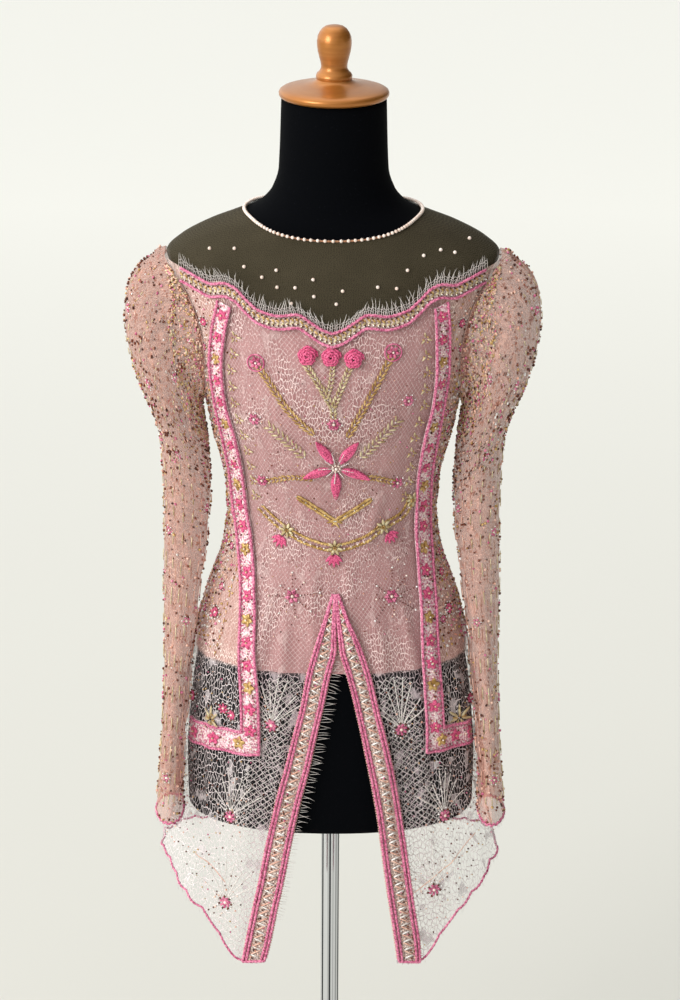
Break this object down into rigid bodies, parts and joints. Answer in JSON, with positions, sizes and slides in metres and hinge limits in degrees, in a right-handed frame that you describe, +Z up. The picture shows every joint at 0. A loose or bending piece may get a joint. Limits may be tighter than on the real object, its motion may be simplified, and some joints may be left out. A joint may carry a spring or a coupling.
{
  "type": "kebaya blouse on a dress form",
  "caption": "Lace kebaya blouse with a sheer yoke, puffed long sleeves and an open pointed front, worn by a limbless dress form on a pole stand.",
  "frame": {"origin": "on the floor under the middle of the round base, on the pole's axis", "axes": "+Z up, +X to the viewer's right, the front of the blouse faces -Y"},
  "size_m": [0.478, 0.336, 1.52],
  "materials": {
    "black_jersey": "matt stretch jersey",
    "copper_wood": "copper lacquer over turned wood",
    "chrome": "polished",
    "tulle": "sheer skin-tone net over the black form",
    "lining": "soft satin",
    "lace": "fine corded lace",
    "bead_band": "beaded braid between cords",
    "pink_cord": "satin stitch",
    "pearl": "pearl lustre",
    "lash_thread": "loose lace threads"
  },
  "bodies": {
    "root": {"form_torso": "black_jersey", "neck_cap": "copper_wood", "stand": "chrome", "yoke_front": "tulle", "yoke_back_left": "tulle", "yoke_back_right": "tulle", "neck_binding": "pearl", "lining_front": "lining", "lining_back_left": "lining", "lining_back_right": "lining", "front_centre": "lace", "side_front_left": "lace", "side_front_right": "lace", "back_left": "lace", "back_right": "lace", "sleeve_upper_left": "lace", "sleeve_lower_left": "lace", "sleeve_upper_right": "lace", "sleeve_lower_right": "lace", "sweetheart_band": "bead_band", "panel_band_left": "bead_band", "panel_band_right": "bead_band", "slit_band_left": "bead_band", "slit_band_right": "bead_band", "lash_strip_top": "lash_thread", "lash_strip_slit": "lash_thread", "rosette_left": "pink_cord", "rosette_middle": "pink_cord", "rosette_right": "pink_cord", "centre_flower": "pink_cord"}
  },
  "joints": []
}
